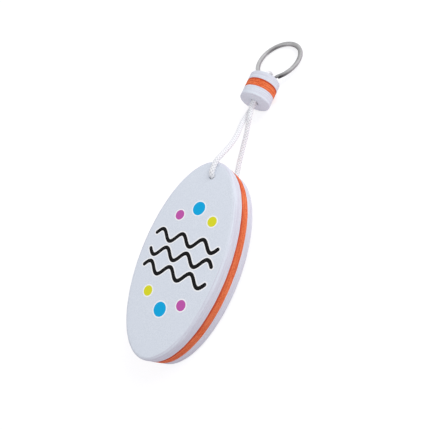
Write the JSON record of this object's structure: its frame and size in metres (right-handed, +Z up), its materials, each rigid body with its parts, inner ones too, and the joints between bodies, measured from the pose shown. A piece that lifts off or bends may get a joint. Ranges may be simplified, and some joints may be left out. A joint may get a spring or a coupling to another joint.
{
  "type": "floating keychain",
  "caption": "Floating keychain: oval laminated foam float and small foam bead on a loop of braided cord with a steel split ring.",
  "frame": {"origin": "on the surface it lies on, under the middle of its length and width", "axes": "+Y along the float from its plain end to its holed end and on to the ring, +Z up, +X to the right seen from above with the ring away from the viewer"},
  "size_m": [0.0474, 0.1783, 0.0235],
  "materials": {
    "white_foam": "matt closed-cell foam, cool white",
    "orange_foam": "matt closed-cell foam, orange",
    "white_cord": "braided polyester, off-white",
    "ring_steel": "nickel-plated spring steel"
  },
  "bodies": {
    "float_and_cord": {"float_front_layer": "white_foam", "float_core_layer": "orange_foam", "float_back_layer": "white_foam", "bead_lower_layer": "white_foam", "bead_core_layer": "orange_foam", "bead_upper_layer": "white_foam", "cord": "white_cord"},
    "ring": {"key_ring": "ring_steel"}
  },
  "joints": [
    {"name": "ring_swing", "type": "hinge", "parent": "float_and_cord", "child": "ring", "pos_m": [-0.00273, 0.06405, 0.00385], "axis": [0.9953, -0.0785, 0.0574], "range_deg": [-100, 105]}
  ]
}
